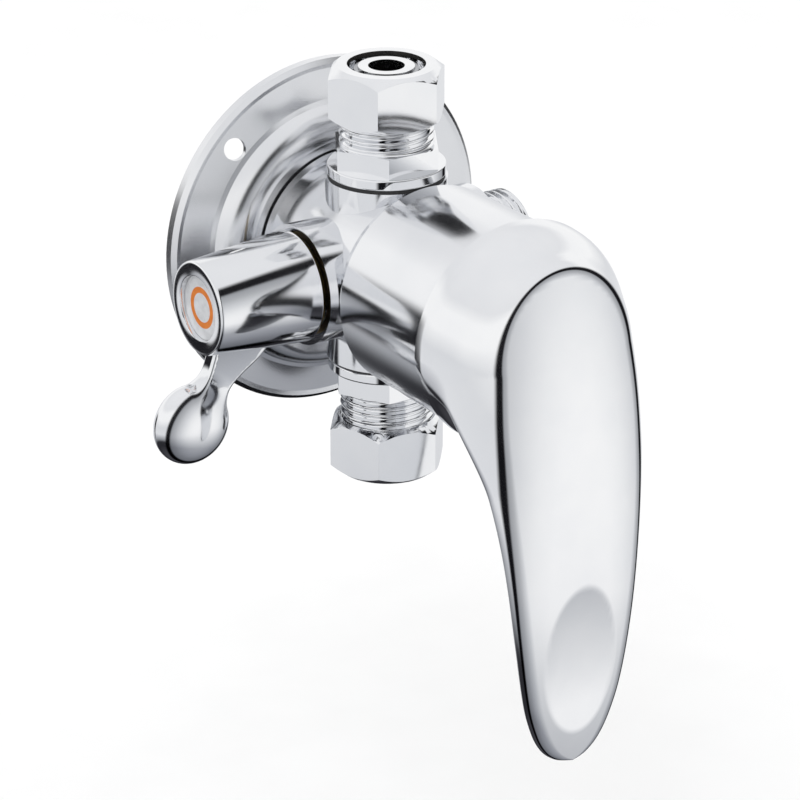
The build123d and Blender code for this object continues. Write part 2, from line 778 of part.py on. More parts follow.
# The dimple's tool stands on the face's own normal
dimple_sin = (dimple_z - face_top_z) / face_long_r
dimple_cos = math.sqrt(1 - dimple_sin**2)
dimple_plane = Plane(origin=face_axis.position, x_dir=(1, 0, 0), z_dir=(0, -dimple_sin, -dimple_cos))
dimple_floor = face_long_r - dimple_deep
dimple_rise = dimple_cross_r - math.sqrt(dimple_cross_r**2 - paddle_tip_half**2)
dimple_centre = dimple_plane.from_local_coords((0, dimple_floor + dimple_long_r, 0))
hollow_rear_r = math.sqrt(skirt_inner**2 - (seam_out - pivot_out) ** 2)
hollow_front_r = math.sqrt(skirt_inner**2 - (hollow_front_out - pivot_out) ** 2)
hollow_mid_r = (hollow_rear_r + hollow_front_r) / 2
with BuildPart() as handle:
    with BuildSketch(Plane.XY):
        with BuildLine():
            Polyline(
                *profile([(0, cap_front_out), (0, seam_out), (skirt_r, seam_out), (skirt_r, cap_belly_out)])
            )
            EllipticalCenterArc((0, -cap_belly_out), skirt_r, cap_depth, start_angle=270, arc_size=90)
        make_face()
    revolve(axis=Axis.Y)
    add(paddle.part)
    for level, half_wide, back_out in neck_sections:
        front_out = face_out(level) - paddle_thick / 2
        with BuildSketch(Plane.XY.offset(level)):
            with Locations((0, -(back_out + front_out) / 2)):
                Ellipse(half_wide, (front_out - back_out) / 2)
    loft()
    add(crowned_face.part, mode=Mode.INTERSECT)
    # Rounded rim of the crowned face
    face_rim = handle.faces().sort_by(Axis.Y)[0].outer_wire().edges()
    fillet(face_rim, radius=rim_round)
    # Thumb dimple, a shallow hollow that is longer than it is wide
    with BuildSketch(dimple_plane):
        with BuildLine():
            dimple_arc = ThreePointArc(
                (-paddle_tip_half, dimple_floor + dimple_rise),
                (0, dimple_floor),
                (paddle_tip_half, dimple_floor + dimple_rise),
            )
            clear_y = face_long_r + paddle_thick
            Polyline(dimple_arc @ 1, (paddle_tip_half, clear_y), (-paddle_tip_half, clear_y), dimple_arc @ 0)
        make_face()
    revolve(axis=Axis(dimple_centre, (1, 0, 0)), mode=Mode.SUBTRACT)
    # Hollow that rides over the dome cover, with the hub left standing
    with BuildSketch(Plane.XY):
        with BuildLine():
            hollow_arc = ThreePointArc(
                *profile([
                    (hollow_rear_r, seam_out),
                    (hollow_mid_r, dome_out(skirt_inner, hollow_mid_r)),
                    (hollow_front_r, hollow_front_out),
                ])
            )
            Polyline(
                *profile([
                    (hollow_front_r, hollow_front_out),
                    (hub_r, hollow_front_out),
                    (hub_r, hub_rear_out),
                    (0, hub_rear_out),
                    (0, seam_out),
                    (hollow_rear_r, seam_out),
                ])
            )
        make_face()
    revolve(axis=Axis.Y, mode=Mode.SUBTRACT)
    with BuildSketch(out(hub_rear_out)):
        Rectangle(stem_square + 2 * socket_gap, stem_square + 2 * socket_gap)
    extrude(amount=socket_front_out - hub_rear_out, mode=Mode.SUBTRACT)
    with BuildSketch(Plane.XY):
        with Locations((0, -grub_out)):
            Circle(grub_r + thread_gap)
    extrude(amount=neck_low_z, mode=Mode.SUBTRACT)
save(handle, "handle")

with BuildPart() as handle_grub_screw:
    with BuildSketch(Plane.XY.offset(-stem_square / 2)):
        with Locations((0, -grub_out)):
            Circle(grub_r)
    extrude(amount=-grub_long)
    with BuildSketch(Plane.XY.offset(-stem_square / 2 - grub_long)):
        with Locations((0, -grub_out)):
            RegularPolygon(grub_r / 2, 6)
    extrude(amount=grub_long / 3, mode=Mode.SUBTRACT)
save(handle_grub_screw, "handle_grub_screw")

with BuildPart() as handle_hole_plug:
    with BuildSketch(Plane.XY.offset(plug_start_z)):
        with Locations((0, -grub_out)):
            Circle(grub_r)
    extrude(amount=-plug_long)
save(handle_hole_plug, "handle_hole_plug")


def across(reach):
    """Plane across the side valve, this far left of the main axis, facing right."""
    return Plane(origin=(-reach, -port_out, 0), x_dir=(0, 1, 0), z_dir=(1, 0, 0))


# Side valve: seal, ceramic discs, spindle and bonnet in the left arm
bypass_ways = [(0, bypass_z), (0, -bypass_z)]

with BuildPart() as side_seat_seal:
    with BuildSketch(across(fixed_reach)):
        Circle(side_disc_r)
        with Locations(*bypass_ways):
            Circle(bypass_r, mode=Mode.SUBTRACT)
    extrude(amount=seat_seal_thick)
save(side_seat_seal, "side_seat_seal")

with BuildPart() as side_fixed_disc:
    with BuildSketch(across(side_fixed_end)):
        Circle(side_disc_r)
        with Locations(*bypass_ways):
            Circle(bypass_r, mode=Mode.SUBTRACT)
    extrude(amount=side_disc_thick)
save(side_fixed_disc, "side_fixed_disc")

with BuildPart() as side_moving_disc:
    with BuildSketch(across(side_moving_end)):
        Circle(side_disc_r)
    extrude(amount=side_disc_thick)
    # Groove that joins the two ports when it stands across the seat
    with BuildSketch(across(side_moving_start)):
        SlotOverall(2 * (bypass_z + bypass_r), 2 * bypass_r)
    extrude(amount=-side_disc_thick / 2, mode=Mode.SUBTRACT)
save(side_moving_disc, "side_moving_disc")

with BuildPart() as side_spindle:
    with BuildSketch(across(side_moving_end + spindle_head_thick)):
        Circle(spindle_head_r)
    extrude(amount=spindle_head_thick)
    with BuildSketch(across(spindle_end_reach)):
        Circle(spindle_r)
    extrude(amount=spindle_end_reach - side_moving_end - spindle_head_thick)
    with BuildSketch(across(spindle_end_reach)):
        Circle(screw_r + thread_gap)
    extrude(amount=screw_long, mode=Mode.SUBTRACT)
save(side_spindle, "side_spindle")

ring_r = spindle_r + spindle_ring_wall
with BuildPart() as side_bonnet:
    with BuildSketch(side_plane):
        with BuildLine():
            Polyline(
                (-bonnet_inner_reach, spindle_r + run_gap),
                (-bonnet_inner_reach, bonnet_thread_r),
                (-rim_reach, bonnet_thread_r),
                (-rim_reach, bonnet_rim_r),
                (-side_reach, bonnet_rim_r),
                (-side_reach, bonnet_neck_r),
                (-bonnet_neck_reach, bonnet_neck_r),
                (-bonnet_neck_reach, spindle_r + run_gap),
                (-spindle_groove_reach - spindle_ring_long, spindle_r + run_gap),
                (-spindle_groove_reach - spindle_ring_long, ring_r + thread_gap),
                (-spindle_groove_reach, ring_r + thread_gap),
                (-spindle_groove_reach, spindle_r + run_gap),
                close=True,
            )
        make_face()
    revolve(axis=side_axis)
save(side_bonnet, "side_bonnet")

with BuildPart() as side_bonnet_seal:
    with BuildSketch(across(rim_reach)):
        Circle(bonnet_rim_r)
        Circle(bonnet_thread_r + free_gap, mode=Mode.SUBTRACT)
    extrude(amount=bonnet_seal_thick)
save(side_bonnet_seal, "side_bonnet_seal")

with BuildPart() as side_spindle_ring:
    with BuildSketch(across(spindle_groove_reach + spindle_ring_long)):
        Circle(ring_r)
        Circle(spindle_r + run_gap, mode=Mode.SUBTRACT)
    extrude(amount=spindle_ring_long)
save(side_spindle_ring, "side_spindle_ring")

# Side knob: a hollow tapered knob with a flat lever that ends in a round pad
knob_web_r = knob_base_r - knob_wall
pad_plane = Plane(origin=(lever_pad_x, -port_out, lever_pad_z))
pad_shoulder_r = lever_pad_r - lever_pad_rim
pad_shoulder_half = (lever_pad_half + lever_pad_rim) / 2
pad_drop = lever_pad_half - pad_shoulder_half
pad_bulge_r = (pad_shoulder_r**2 + pad_drop**2) / (2 * pad_drop)


def pad_point(angle):
    """Point inside the pad's edge, seen from the front, at this angle from +X."""
    reach = lever_pad_r - lever_inset
    turn = math.radians(angle)
    return (lever_pad_x + reach * math.cos(turn), lever_pad_z + reach * math.sin(turn))


with BuildPart() as lever_blade:
    with BuildSketch(inlet_plane):
        with BuildLine():
            Polyline(
                (lever_root_inner_x, lever_root_z),
                (lever_root_inner_x, lever_root_low_z),
                pad_point(lever_neck_inner_angle),
                pad_point(lever_neck_outer_angle),
                (lever_root_outer_x, lever_root_low_z),
                (lever_root_outer_x, lever_root_z),
                close=True,
            )
        make_face()
    extrude(amount=lever_half_thick, both=True)
    blade_sides = lever_blade.faces().sort_by(Axis.Y)
    fillet(blade_sides[0].edges() + blade_sides[-1].edges(), radius=lever_round)

with BuildPart() as side_handle:
    with BuildSketch(side_plane):
        with BuildLine():
            Polyline(
                (-knob_base_reach, 0),
                (-knob_base_reach, knob_base_r),
                (-knob_end_reach, knob_end_r),
                (-knob_end_reach, 0),
                close=True,
            )
        make_face()
    revolve(axis=side_axis)
    fillet(side_handle.edges().filter_by(GeomType.CIRCLE).sort_by(Axis.X)[0], radius=knob_edge)
    add(lever_blade.part)
    with BuildSketch(pad_plane):
        with BuildLine():
            back_bulge = RadiusArc((0, lever_pad_half), (pad_shoulder_r, pad_shoulder_half), pad_bulge_r)
            rim_arc = ThreePointArc(
                back_bulge @ 1, (lever_pad_r, 0), (pad_shoulder_r, -pad_shoulder_half)
            )
            front_bulge = RadiusArc(rim_arc @ 1, (0, -lever_pad_half), pad_bulge_r)
            Line(front_bulge @ 1, back_bulge @ 0)
        make_face()
    revolve(axis=Axis(pad_plane.origin, (0, 1, 0)))
    # Recess for the cap, hollow round the bonnet and bores for the screw and the spindle
    with BuildSketch(across(knob_end_reach)):
        Circle(cap_recess_r)
    extrude(amount=knob_end_reach - cap_seat_reach, mode=Mode.SUBTRACT)
    with BuildSketch(across(cap_seat_reach)):
        Circle(screw_head_r + free_gap)
    extrude(amount=cap_seat_reach - screw_seat_reach, mode=Mode.SUBTRACT)
    with BuildSketch(across(knob_web_reach)):
        Circle(knob_web_r)
    extrude(amount=knob_web_reach - knob_base_reach, mode=Mode.SUBTRACT)
    with BuildSketch(across(spindle_end_reach)):
        Circle(spindle_r + thread_gap)
    extrude(amount=spindle_end_reach - knob_base_reach, mode=Mode.SUBTRACT)
    with BuildSketch(across(screw_seat_reach)):
        Circle(screw_r + free_gap)
    extrude(amount=screw_seat_reach - knob_base_reach, mode=Mode.SUBTRACT)
save(side_handle, "side_handle")

with BuildPart() as side_handle_screw:
    with BuildSketch(across(screw_seat_reach + screw_head_thick)):
        Circle(screw_head_r)
    extrude(amount=screw_head_thick)
    with BuildSketch(across(screw_seat_reach)):
        Circle(screw_r)
    extrude(amount=screw_long)
save(side_handle_screw, "side_handle_screw")

with BuildPart() as side_index_cap:
    with BuildSketch(across(cap_seat_reach + cap_thick)):
        Circle(cap_recess_r - thread_gap)
    extrude(amount=cap_thick)
save(side_index_cap, "side_index_cap")
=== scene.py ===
import math

import bmesh
import bpy
import numpy as np
from mathutils import Matrix, Vector


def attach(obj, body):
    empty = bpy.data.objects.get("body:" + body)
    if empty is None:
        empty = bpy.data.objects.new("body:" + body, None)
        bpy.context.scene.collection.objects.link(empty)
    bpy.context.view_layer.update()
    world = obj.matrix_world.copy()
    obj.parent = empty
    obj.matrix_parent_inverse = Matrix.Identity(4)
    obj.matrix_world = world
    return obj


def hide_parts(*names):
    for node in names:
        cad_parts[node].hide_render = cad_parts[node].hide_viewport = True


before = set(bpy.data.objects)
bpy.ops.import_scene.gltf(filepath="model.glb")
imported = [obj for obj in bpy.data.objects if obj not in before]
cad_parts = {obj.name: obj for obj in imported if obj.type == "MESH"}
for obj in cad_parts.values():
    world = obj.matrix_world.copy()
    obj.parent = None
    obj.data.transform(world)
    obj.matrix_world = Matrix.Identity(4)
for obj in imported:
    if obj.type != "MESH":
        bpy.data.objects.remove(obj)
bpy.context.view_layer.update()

MM = 0.001
# Distance from the wall to the plane of the four ports
port_out = 27.3
port_y = -port_out * MM

scene = bpy.context.scene
scene.view_settings.view_transform = "Standard"


# Node helpers

def new_material(name):
    material = bpy.data.materials.new(name)
    material.use_nodes = True
    tree = material.node_tree
    shader = tree.nodes["Principled BSDF"]
    return material, tree, shader


def add_node(tree, kind, **settings):
    node = tree.nodes.new(kind)
    for key, value in settings.items():
        setattr(node, key, value)
    return node


def object_noise(tree, scale, detail=3.0, stretch=(1, 1, 1)):
    """Noise on the piece's own coordinates, with its grain drawn out along an axis where stretch is small."""
    place = add_node(tree, "ShaderNodeTexCoord")
    mapping = add_node(tree, "ShaderNodeMapping")
    mapping.inputs["Scale"].default_value = stretch
    noise = add_node(tree, "ShaderNodeTexNoise")
    noise.inputs["Scale"].default_value = scale
    noise.inputs["Detail"].default_value = detail
    tree.links.new(place.outputs["Object"], mapping.inputs["Vector"])
    tree.links.new(mapping.outputs["Vector"], noise.inputs["Vector"])
    return noise.outputs["Fac"]


def ramp(tree, factor, stops):
    node = add_node(tree, "ShaderNodeValToRGB")
    elements = node.color_ramp.elements
    while len(elements) < len(stops):
        elements.new(1.0)
    for element, (position, colour) in zip(elements, stops):
        element.position = position
        element.color = (*colour, 1.0)
    tree.links.new(factor, node.inputs["Fac"])
    return node.outputs["Color"]


def spread(tree, factor, low, high):
    """Maps the middle of a noise to a range of values."""
    node = add_node(tree, "ShaderNodeMapRange")
    node.inputs["From Min"].default_value = 0.3
    node.inputs["From Max"].default_value = 0.7
    node.inputs["To Min"].default_value = low
    node.inputs["To Max"].default_value = high
    tree.links.new(factor, node.inputs["Value"])
    return node.outputs["Result"]


def bump(tree, shader, height, strength, distance):
    node = add_node(tree, "ShaderNodeBump")
    node.inputs["Strength"].default_value = strength
    node.inputs["Distance"].default_value = distance
    tree.links.new(height, node.inputs["Height"])
    tree.links.new(node.outputs["Normal"], shader.inputs["Normal"])


def finish_of(name, pale, dark, rough, grain_scale, metallic,
              stretch=(1, 1, 1), relief=0.05, relief_scale=None):
    """A finish whose colour and gloss drift a little over the piece, with a fine relief."""
    material, tree, shader = new_material(name)
    shader.inputs["Metallic"].default_value = metallic
    drift = object_noise(tree, grain_scale, 4.0, stretch)
    tree.links.new(ramp(tree, drift, [(0.32, dark), (0.68, pale)]), shader.inputs["Base Color"])
    tree.links.new(spread(tree, drift, *rough), shader.inputs["Roughness"])
    fine = object_noise(tree, relief_scale or grain_scale * 6, 2.0, stretch)
    bump(tree, shader, fine, relief, 0.2 * MM)
    return material


chrome = finish_of("polished_chrome", (0.90, 0.905, 0.915), (0.86, 0.868, 0.885), (0.05, 0.09), 90, 1.0,
                   relief=0.012, relief_scale=240)
cast_chrome = finish_of("plated_casting", (0.88, 0.885, 0.90), (0.83, 0.84, 0.86), (0.10, 0.14), 60, 1.0,
                        relief=0.008, relief_scale=200)
turned_chrome = finish_of("turned_chrome", (0.89, 0.895, 0.91), (0.85, 0.86, 0.875), (0.08, 0.12), 80, 1.0,
                          relief=0.006, relief_scale=220)
satin_chrome = finish_of("spun_chrome", (0.84, 0.845, 0.86), (0.79, 0.80, 0.82), (0.2, 0.26), 70, 1.0,
                         relief=0.004, relief_scale=300)
# The grain of the flange runs round its axis
spin = add_node(satin_chrome.node_tree, "ShaderNodeTangent", direction_type="RADIAL", axis="Y")
spun_shader = satin_chrome.node_tree.nodes["Principled BSDF"]
spun_shader.inputs["Anisotropic"].default_value = 0.6
satin_chrome.node_tree.links.new(spin.outputs["Tangent"], spun_shader.inputs["Tangent"])
brass = finish_of("turned_brass", (0.83, 0.66, 0.34), (0.70, 0.52, 0.24), (0.22, 0.38), 260, 1.0,
                  stretch=(1, 0.1, 1), relief=0.08)
# Near-black finish painted on the nuts' bores as painted shade inside the holes
painted_shade_bore = finish_of("bore_painted_as_shade", (0.05, 0.048, 0.045), (0.03, 0.029, 0.028),
                      (0.4, 0.55), 300, 0.6, relief=0.05)
rubber = finish_of("black_rubber", (0.035, 0.035, 0.037), (0.02, 0.02, 0.021),
                   (0.62, 0.8), 500, 0.0, relief=0.2)
ceramic = finish_of("white_ceramic", (0.90, 0.89, 0.85), (0.83, 0.82, 0.78),
                    (0.16, 0.3), 400, 0.0, relief=0.04)
plastic = finish_of("cartridge_plastic", (0.86, 0.87, 0.88), (0.78, 0.79, 0.81),
                    (0.38, 0.52), 350, 0.0, relief=0.1)
steel = finish_of("bright_steel", (0.50, 0.51, 0.53), (0.40, 0.41, 0.43),
                  (0.24, 0.38), 420, 1.0, relief=0.06)
plug_grey = finish_of("plug_plastic", (0.42, 0.43, 0.45), (0.34, 0.35, 0.37),
                      (0.3, 0.45), 420, 0.0, relief=0.08)

finishes = {
    "chrome": chrome, "brass": brass, "rubber": rubber, "ceramic": ceramic, "cartridge_plastic": plastic,
    "steel": steel, "plug_plastic": plug_grey,
}


def cap_finish(ring_unit=8 * MM):
    """Satin silver disc with one plain orange ring, whose edges are shares of the ring unit."""
    material, tree, shader = new_material("index_cap_paint")
    place = add_node(tree, "ShaderNodeTexCoord")
    mapping = add_node(tree, "ShaderNodeMapping")
    mapping.inputs["Location"].default_value = (0, -port_y, 0)
    mapping.inputs["Scale"].default_value = (0, 1, 1)
    radius = add_node(tree, "ShaderNodeVectorMath", operation="LENGTH")
    tree.links.new(place.outputs["Object"], mapping.inputs["Vector"])
    tree.links.new(mapping.outputs["Vector"], radius.inputs[0])
    to_unit = add_node(tree, "ShaderNodeMath", operation="DIVIDE")
    to_unit.inputs[1].default_value = ring_unit
    tree.links.new(radius.outputs["Value"], to_unit.inputs[0])
    ring = ramp(tree, to_unit.outputs["Value"], [
        (0.405, (0, 0, 0)), (0.415, (1, 1, 1)), (0.575, (1, 1, 1)), (0.585, (0, 0, 0)),
    ])
    grain = object_noise(tree, 700, 3.0)
    silver = ramp(tree, grain, [(0.3, (0.70, 0.71, 0.73)), (0.7, (0.80, 0.81, 0.83))])
    orange = ramp(tree, grain, [(0.3, (0.80, 0.21, 0.025)), (0.7, (0.88, 0.27, 0.04))])
    mix = add_node(tree, "ShaderNodeMix", data_type="RGBA")
    tree.links.new(ring, mix.inputs["Factor"])
    tree.links.new(silver, mix.inputs["A"])
    tree.links.new(orange, mix.inputs["B"])
    tree.links.new(mix.outputs["Result"], shader.inputs["Base Color"])
    tree.links.new(spread(tree, grain, 0.3, 0.42), shader.inputs["Roughness"])
    shader.inputs["Metallic"].default_value = 0.35
    bump(tree, shader, grain, 0.05, 0.1 * MM)
    return material


finishes["index_cap"] = cap_finish()
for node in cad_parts.values():
    for index, material in enumerate(node.data.materials):
        node.material_slots[index].material = finishes[material.name]
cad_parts["wall_flange"].material_slots[0].material = satin_chrome


# Mesh helpers

def place_piece(name, mesh, body, slot, nodes=(), finish=None):
    piece = bpy.data.objects.new(name, mesh)
    scene.collection.objects.link(piece)
    if not mesh.materials:
        mesh.materials.append(finish or finishes[slot])
    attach(piece, body)
    if nodes:
        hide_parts(*nodes)


def trimmed_copy(node_name, drop):
    """A node's surface without the faces that drop() picks, with its smooth shading kept."""
    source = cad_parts[node_name].data
    normals = [Vector(n.vector) for n in source.corner_normals]
    points = [v.co.copy() for v in source.vertices]
    faces, kept_normals = [], []
    for face in source.polygons:
        if not drop(face.center):
            faces.append(tuple(face.vertices))
            kept_normals.extend(normals[i] for i in face.loop_indices)
    used = sorted({i for face in faces for i in face})
    renumbered = {old: new for new, old in enumerate(used)}
    mesh = bpy.data.meshes.new(node_name + "_trimmed")
    mesh.from_pydata([points[i] for i in used], [], [[renumbered[i] for i in face] for face in faces])
    mesh.polygons.foreach_set("use_smooth", [True] * len(faces))
    mesh.normals_split_custom_set(kept_normals)
    return mesh


def grid_mesh(name, rings, closed_start=False, closed_end=False):
    """A skin over rings of points that each close on themselves, with an optional point at either end."""
    count, around = rings.shape[:2]
    points = [tuple(p) for p in rings.reshape(-1, 3)]
    faces = []
    for i in range(count - 1):
        for j in range(around):
            k = (j + 1) % around
            faces.append((i * around + j, i * around + k, (i + 1) * around + k, (i + 1) * around + j))
    if closed_start:
        points.append(tuple(rings[0].mean(axis=0)))
        faces += [(len(points) - 1, (j + 1) % around, j) for j in range(around)]
    if closed_end:
        points.append(tuple(rings[-1].mean(axis=0)))
        base = (count - 1) * around
        faces += [(len(points) - 1, base + j, base + (j + 1) % around) for j in range(around)]
    mesh = bpy.data.meshes.new(name)
    mesh.from_pydata(points, [], faces)
    mesh.polygons.foreach_set("use_smooth", [True] * len(faces))
    return mesh


def bevelled_copy(node_name, width):
    """A node's surface with its sharp edges broken by a small bevel, as plating leaves them."""
    holder = bpy.data.objects.new(node_name + "_holder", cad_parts[node_name].data.copy())
    scene.collection.objects.link(holder)
    shape = bmesh.new()
    shape.from_mesh(holder.data)
    bmesh.ops.remove_doubles(shape, verts=shape.verts, dist=0.001 * MM)
    bmesh.ops.dissolve_limit(shape, angle_limit=math.radians(0.5), verts=shape.verts, edges=shape.edges)
    plain = bpy.data.meshes.new(node_name + "_bevelled")
    shape.to_mesh(plain)
    shape.free()
    plain.polygons.foreach_set("use_smooth", [True] * len(plain.polygons))
    for material in holder.data.materials:
        plain.materials.append(material)
    holder.data = plain
    bevel = holder.modifiers.new("edges", "BEVEL")
    bevel.width = width
    bevel.segments = 1
    bevel.limit_method = "ANGLE"
    bevel.angle_limit = math.radians(25)
    graph = bpy.context.evaluated_depsgraph_get()
    mesh = bpy.data.meshes.new_from_object(holder.evaluated_get(graph))
    holder.modifiers.remove(bevel)
    bpy.data.objects.remove(holder)
    mesh.set_sharp_from_angle(angle=math.radians(20))
    return mesh


# Threads: one tree, a tube whose wall follows a screw line

def thread_tree(around=120, along=96, crest_share=0.16, flank_share=0.68):
    tree = bpy.data.node_groups.new("screw_thread", "GeometryNodeTree")
    tree.interface.new_socket(name="Geometry", in_out="INPUT", socket_type="NodeSocketGeometry")
    tree.interface.new_socket(name="Geometry", in_out="OUTPUT", socket_type="NodeSocketGeometry")
    kinds = {name: "NodeSocketFloat" for name in ("Crest Radius", "Depth", "Pitch", "Length", "Run Out")}
    kinds.update({name: "NodeSocketVector" for name in ("Middle", "Turn")})
    ids = {
        name: tree.interface.new_socket(name=name, in_out="INPUT", socket_type=kind).identifier
        for name, kind in kinds.items()
    }
    nodes, links = tree.nodes, tree.links
    given = nodes.new("NodeGroupInput")
    result = nodes.new("NodeGroupOutput")

    def math_node(operation, first, second=None, clamp=False):
        node = nodes.new("ShaderNodeMath")
        node.operation = operation
        node.use_clamp = clamp
        for place, value in zip(node.inputs, (first, second)):
            if value is None:
                continue
            if isinstance(value, (int, float)):
                place.default_value = value
            else:
                links.new(value, place)
        return node.outputs[0]

    tube = nodes.new("GeometryNodeMeshCylinder")
    tube.fill_type = "NONE"
    tube.inputs["Vertices"].default_value = around
    tube.inputs["Side Segments"].default_value = along
    links.new(given.outputs["Crest Radius"], tube.inputs["Radius"])
    links.new(given.outputs["Length"], tube.inputs["Depth"])
    position = nodes.new("GeometryNodeInputPosition")
    parts = nodes.new("ShaderNodeSeparateXYZ")
    links.new(position.outputs["Position"], parts.inputs["Vector"])
    x, y, z = parts.outputs
    angle = math_node("ARCTAN2", y, x)
    climb = math_node("DIVIDE", z, given.outputs["Pitch"])
    turns = math_node("SUBTRACT", climb, math_node("DIVIDE", angle, 2 * math.pi))
    phase = math_node("SUBTRACT", turns, math_node("FLOOR", turns))
    wave = math_node("MULTIPLY", math_node("ABSOLUTE", math_node("SUBTRACT", phase, 0.5)), 2.0)
    flank = math_node("DIVIDE", math_node("SUBTRACT", wave, crest_share), flank_share, clamp=True)
    half_length = math_node("MULTIPLY", given.outputs["Length"], 0.5)
    from_end = math_node("SUBTRACT", half_length, math_node("ABSOLUTE", z))
    fade = math_node("DIVIDE", from_end, given.outputs["Run Out"], clamp=True)
    cut = math_node("MULTIPLY", given.outputs["Depth"], math_node("MULTIPLY", flank, fade))
    radius = math_node("SUBTRACT", given.outputs["Crest Radius"], cut)
    joined = nodes.new("ShaderNodeCombineXYZ")
    links.new(math_node("MULTIPLY", radius, math_node("COSINE", angle)), joined.inputs["X"])
    links.new(math_node("MULTIPLY", radius, math_node("SINE", angle)), joined.inputs["Y"])
    links.new(z, joined.inputs["Z"])
    shaped = nodes.new("GeometryNodeSetPosition")
    links.new(tube.outputs["Mesh"], shaped.inputs["Geometry"])
    links.new(joined.outputs["Vector"], shaped.inputs["Position"])
    turned = nodes.new("GeometryNodeTransform")
    links.new(shaped.outputs["Geometry"], turned.inputs["Geometry"])
    links.new(given.outputs["Middle"], turned.inputs["Translation"])
    links.new(given.outputs["Turn"], turned.inputs["Rotation"])
    smooth = nodes.new("GeometryNodeSetShadeSmooth")
    links.new(turned.outputs["Geometry"], smooth.inputs["Geometry"])
    realized = nodes.new("GeometryNodeRealizeInstances")
    links.new(smooth.outputs["Geometry"], realized.inputs["Geometry"])
    finish = nodes.new("GeometryNodeSetMaterial")
    finish.inputs["Material"].default_value = chrome
    links.new(realized.outputs["Geometry"], finish.inputs["Geometry"])
    links.new(finish.outputs["Geometry"], result.inputs["Geometry"])
    return tree, ids


def grown(name, tree, values):
    """The plain mesh that a tree gives for these values, by socket identifier."""
    holder = bpy.data.objects.new(name + "_holder", bpy.data.meshes.new(name + "_holder"))
    scene.collection.objects.link(holder)
    modifier = holder.modifiers.new("shape", "NODES")
    modifier.node_group = tree
    for identifier, value in values.items():
        modifier[identifier] = value
    graph = bpy.context.evaluated_depsgraph_get()
    mesh = bpy.data.meshes.new_from_object(holder.evaluated_get(graph))
    mesh.name = name
    holder.modifiers.remove(modifier)
    bpy.data.objects.remove(holder)
    return mesh


screw_tree, screw_ids = thread_tree()
thread_r = 10.45 * MM
thread_depth = 0.95 * MM
thread_pitch = 1.81 * MM
thread_run_out = 0.9 * MM


def threaded(name, middle, turn, length):
    values = {
        screw_ids["Crest Radius"]: thread_r,
        screw_ids["Depth"]: thread_depth,
        screw_ids["Pitch"]: thread_pitch,
        screw_ids["Length"]: length,
        screw_ids["Run Out"]: thread_run_out,
        screw_ids["Middle"]: middle,
        screw_ids["Turn"]: turn,
    }
    place_piece(name, grown(name, screw_tree, values), "body", "chrome")


def off_axis(point, along):
    """Distance from the line through the ports that runs along x or z."""
    return math.hypot(point.y - port_y, point.z if along == "x" else point.x)


def is_thread(along, start, end):
    """A test for faces of a plain cylinder where a thread is shown."""
    def drop(centre):
        reach = centre.x if along == "x" else centre.z
        return start < reach < end and abs(off_axis(centre, along) - thread_r) < 0.06 * MM
    return drop


# Outlet thread on the right arm
outlet_start, outlet_end = 23.4 * MM, 32.5 * MM
place_piece("body_shell", trimmed_copy("valve_body", is_thread("x", outlet_start, outlet_end)),
            "body", "chrome", ["valve_body"], cast_chrome)
threaded("outlet_thread", ((outlet_start + outlet_end) / 2, port_y, 0), (0, math.pi / 2, 0),
         outlet_end - outlet_start)

# Threads of the inlet nipples, between the hexagon and the end that the nut hides
nipple_start, nipple_end = 28.6 * MM, 40.7 * MM
for side, up in (("hot", 1), ("cold", -1)):
    low, high = sorted((up * nipple_start, up * nipple_end))
    place_piece(side + "_nipple_shell", trimmed_copy(side + "_nipple", is_thread("z", low, high)),
                "body", "chrome", [side + "_nipple"])
    threaded(side + "_nipple_thread", (0, port_y, (low + high) / 2), (0, 0, 0), high - low)


# Smooth shapes, each solved from a field that is below zero inside the piece, in millimetres

def soft_max(a, b, k):
    h = np.maximum(k - np.abs(a - b), 0.0) / k
    return np.maximum(a, b) + h * h * k / 4


def soft_min(a, b, k):
    return -soft_max(-a, -b, k)


def smooth_curve(points, end_slope=1.6):
    """Monotone cubic through the points, as a function. Its ends are steeper than their chords."""
    xs, ys = np.array(points).T
    step, slope = np.diff(xs), np.diff(ys) / np.diff(xs)
    tangent = np.zeros_like(ys)
    for i in range(1, len(xs) - 1):
        if slope[i - 1] * slope[i] > 0:
            tangent[i] = 2 * slope[i - 1] * slope[i] / (slope[i - 1] + slope[i])
    tangent[0], tangent[-1] = slope[0] * end_slope, slope[-1] * end_slope

    def value(at):
        i = np.clip(np.searchsorted(xs, at) - 1, 0, len(xs) - 2)
        t = np.clip((at - xs[i]) / step[i], 0, 1)
        return ((1 + 2 * t) * (1 - t) ** 2 * ys[i] + t * (1 - t) ** 2 * step[i] * tangent[i]
                + t * t * (3 - 2 * t) * ys[i + 1] + t * t * (t - 1) * step[i] * tangent[i + 1])
    return value


def solved_ring(field, middle, across, along, wide, deep, around, farthest=2.8, halvings=44):
    """Points where rays from the middle, in the plane of two directions, leave the piece."""
    turn = np.linspace(0, 2 * np.pi, around, endpoint=False)
    rays = np.outer(np.cos(turn) * wide, across) + np.outer(np.sin(turn) * deep, along)
    near, far = np.zeros((around, 1)), np.full((around, 1), farthest)
    for _ in range(halvings):
        mid = (near + far) / 2
        hit = (field(*(middle + rays * mid).T) > 0)[:, None]
        far = np.where(hit, mid, far)
        near = np.where(hit, near, mid)
    return middle + rays * near


def solved_skin(name, field, rings, closed_start, closed_end, small=0.02):
    """A skin over solved rings, shaded with the field's own slope so that reflections run smoothly."""
    mesh = grid_mesh(name, rings * MM, closed_start, closed_end)
    points = np.array([v.co for v in mesh.vertices]) / MM
    slope = np.stack([
        field(*(points + step).T) - field(*(points - step).T) for step in np.eye(3) * small
    ], axis=1)
    slope /= np.linalg.norm(slope, axis=1)[:, None]
    mesh.normals_split_custom_set_from_vertices(slope)
    return mesh


